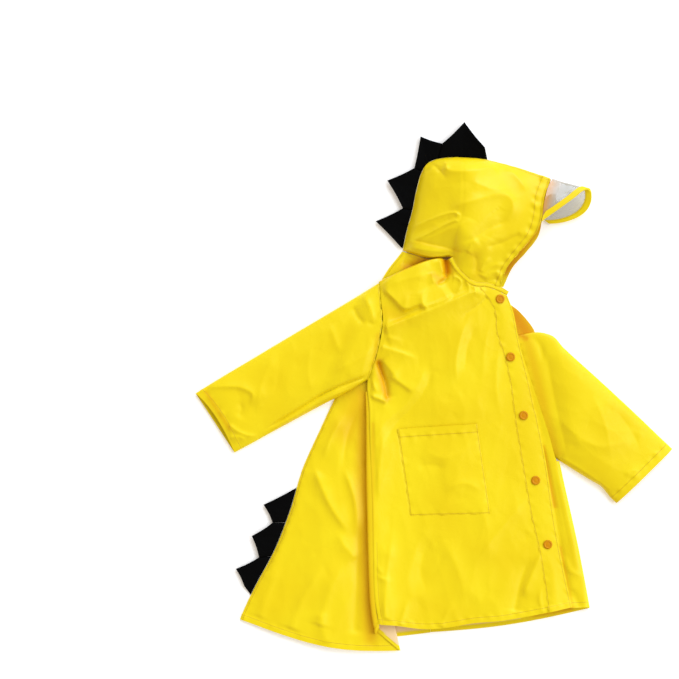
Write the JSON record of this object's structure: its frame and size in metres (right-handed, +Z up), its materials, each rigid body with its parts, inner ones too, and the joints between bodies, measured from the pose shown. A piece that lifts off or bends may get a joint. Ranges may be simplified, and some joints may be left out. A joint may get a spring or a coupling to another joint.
{
  "type": "child's hooded rain poncho",
  "caption": "Child's hooded rain poncho with set-in sleeves, snap front, patch pocket, clear visor and padded cloth teeth down the centre back, laid flat on its side.",
  "frame": {"origin": "on the surface that the garment lies on, below the middle of its laid outline", "axes": "+X from the back seam towards the front placket, +Y from the hem towards the hood, +Z up from the surface"},
  "size_m": [0.809, 0.8964, 0.0469],
  "materials": {
    "coated_cloth": "yellow woven cloth with a soft glossy waterproof coating, pale pinkish cream inside",
    "black_cloth": "matt black brushed cloth",
    "snap_plastic": "orange moulded plastic",
    "clear_vinyl": "clear flexible vinyl film with a soft shine"
  },
  "bodies": {
    "root": {"right_front": "coated_cloth", "left_front": "coated_cloth", "back_right": "coated_cloth", "back_left": "coated_cloth", "sleeve_right": "coated_cloth", "sleeve_left": "coated_cloth", "hood_right": "coated_cloth", "hood_left": "coated_cloth", "neck_band": "coated_cloth", "placket": "coated_cloth", "pocket": "coated_cloth", "visor": "clear_vinyl", "visor_binding": "coated_cloth", "snap_cap_1": "snap_plastic", "snap_cap_2": "snap_plastic", "snap_cap_3": "snap_plastic", "snap_cap_4": "snap_plastic", "snap_cap_5": "snap_plastic", "hood_spike_1": "black_cloth", "hood_spike_2": "black_cloth", "hood_spike_3": "black_cloth", "hood_spike_4": "black_cloth", "tail_spike_1": "black_cloth", "tail_spike_2": "black_cloth", "tail_spike_3": "black_cloth"}
  },
  "joints": []
}
